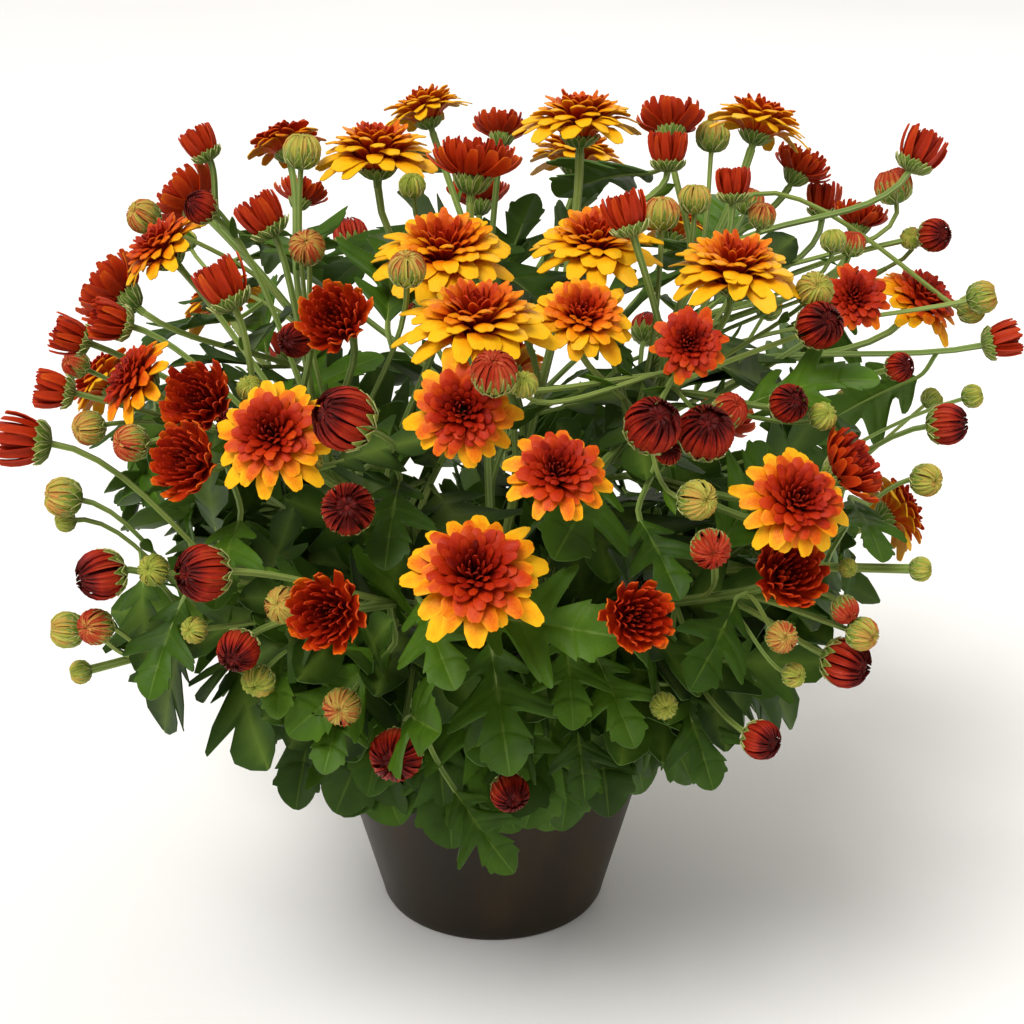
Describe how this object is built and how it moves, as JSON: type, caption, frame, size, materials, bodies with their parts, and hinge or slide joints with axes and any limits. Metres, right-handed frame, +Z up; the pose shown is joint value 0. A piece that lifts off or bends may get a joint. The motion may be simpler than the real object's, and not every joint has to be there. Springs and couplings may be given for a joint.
{
  "type": "potted chrysanthemum",
  "caption": "Potted chrysanthemum: a dome of red and yellow layered blooms, ball buds and lobed leaves on branching stems, in a tapered nursery pot.",
  "frame": {"origin": "middle of the pot's underside, on the surface that the pot stands on", "axes": "+Z up along the pot's axis; the pictured side of the plant faces -Y; +X to the right as seen from there"},
  "size_m": [0.3877, 0.4084, 0.3378],
  "materials": {
    "pot": "moulded polypropylene with a soft sheen",
    "soil": "rough crumbly potting mix",
    "foliage": "matt green leaf and stem",
    "petals": "satin petals, red at the root and golden yellow at the end"
  },
  "bodies": {
    "root": {"bloom_01": "petals", "bloom_02": "petals", "bloom_03": "petals", "bloom_04": "petals", "bloom_05": "petals", "bloom_06": "petals", "bloom_07": "petals", "bloom_08": "petals", "bloom_09": "petals", "bloom_10": "petals", "bloom_11": "petals", "bloom_12": "petals", "bloom_13": "petals", "bloom_14": "petals", "bloom_15": "petals", "bloom_16": "petals", "bloom_17": "petals", "bloom_18": "petals", "bloom_19": "petals", "bloom_20": "petals", "bloom_21": "petals", "bloom_22": "petals", "bloom_23": "petals", "bloom_24": "petals", "bloom_25": "petals", "bloom_26": "petals", "bloom_27": "petals", "bloom_28": "petals", "bloom_29": "petals", "bloom_30": "petals", "bloom_31": "petals", "bloom_32": "petals", "bloom_33": "petals", "bloom_34": "petals", "bloom_35": "petals", "bloom_36": "petals", "bloom_37": "petals", "bloom_38": "petals", "bloom_39": "petals", "pot": "pot", "soil": "soil", "stem_01": "foliage", "stem_02": "foliage", "stem_03": "foliage", "stem_04": "foliage", "stem_05": "foliage", "stem_06": "foliage", "stem_07": "foliage", "stem_08": "foliage", "stem_09": "foliage", "stem_10": "foliage", "stem_11": "foliage", "stem_12": "foliage", "stem_13": "foliage", "stem_14": "foliage", "stem_15": "foliage"}
  },
  "joints": []
}
